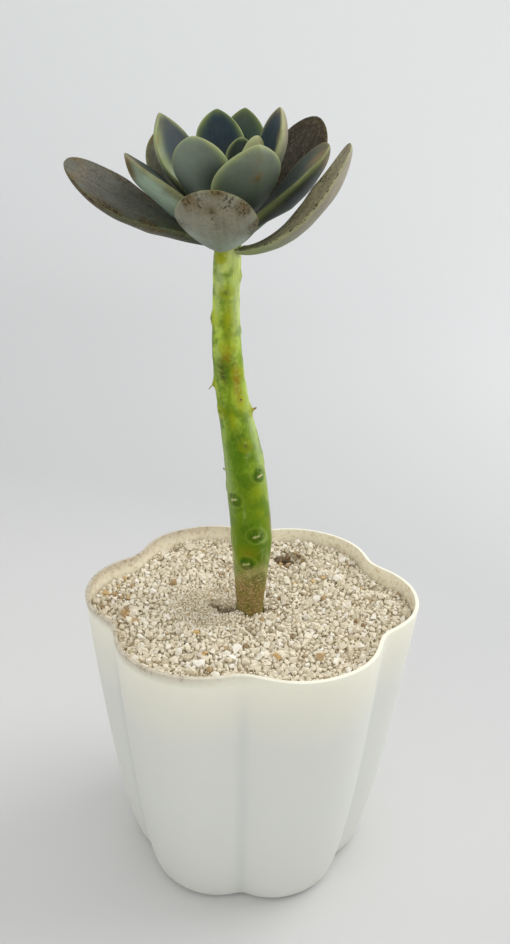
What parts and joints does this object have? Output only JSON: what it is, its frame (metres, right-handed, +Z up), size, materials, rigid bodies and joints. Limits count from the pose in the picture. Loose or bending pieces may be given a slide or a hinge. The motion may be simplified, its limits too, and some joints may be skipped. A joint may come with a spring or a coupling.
{
  "type": "potted graptopetalum",
  "caption": "Rosette succulent of thick spoon-shaped leaves on a bare curved stem, planted in pale pumice grit in a white lobed plastic pot.",
  "frame": {"origin": "middle of the pot's underside, on the surface that it stands on", "axes": "+Z up along the plant; -Y towards the side that the picture shows, +X to the right in the picture"},
  "size_m": [0.11, 0.1036, 0.2438],
  "materials": {
    "pot_plastic": "white moulded plastic with a soft sheen, creamier inside and at the lip",
    "potting_mix": "dark potting mix, hidden under the grit",
    "pumice_grit": "dry off-white pumice grit with a few tan grains",
    "stem_skin": "smooth green succulent stem with leaf scars, corky and tan at the foot",
    "outer_leaf_skin": "matt waxy bloom, grey-olive with brown speckles",
    "inner_leaf_skin": "matt waxy bloom, blue-green with yellow-green margins"
  },
  "bodies": {
    "root": {"pot": "pot_plastic", "potting_mix": "potting_mix", "gravel": "pumice_grit", "stem": "stem_skin", "leaf_01": "outer_leaf_skin", "leaf_02": "outer_leaf_skin", "leaf_03": "outer_leaf_skin", "leaf_04": "outer_leaf_skin", "leaf_05": "outer_leaf_skin", "leaf_06": "outer_leaf_skin", "leaf_07": "outer_leaf_skin", "leaf_08": "outer_leaf_skin", "leaf_09": "inner_leaf_skin", "leaf_10": "inner_leaf_skin", "leaf_11": "inner_leaf_skin", "leaf_12": "inner_leaf_skin", "leaf_13": "inner_leaf_skin", "leaf_14": "inner_leaf_skin", "leaf_15": "inner_leaf_skin", "leaf_16": "inner_leaf_skin", "leaf_17": "inner_leaf_skin", "bud": "inner_leaf_skin"}
  },
  "joints": []
}
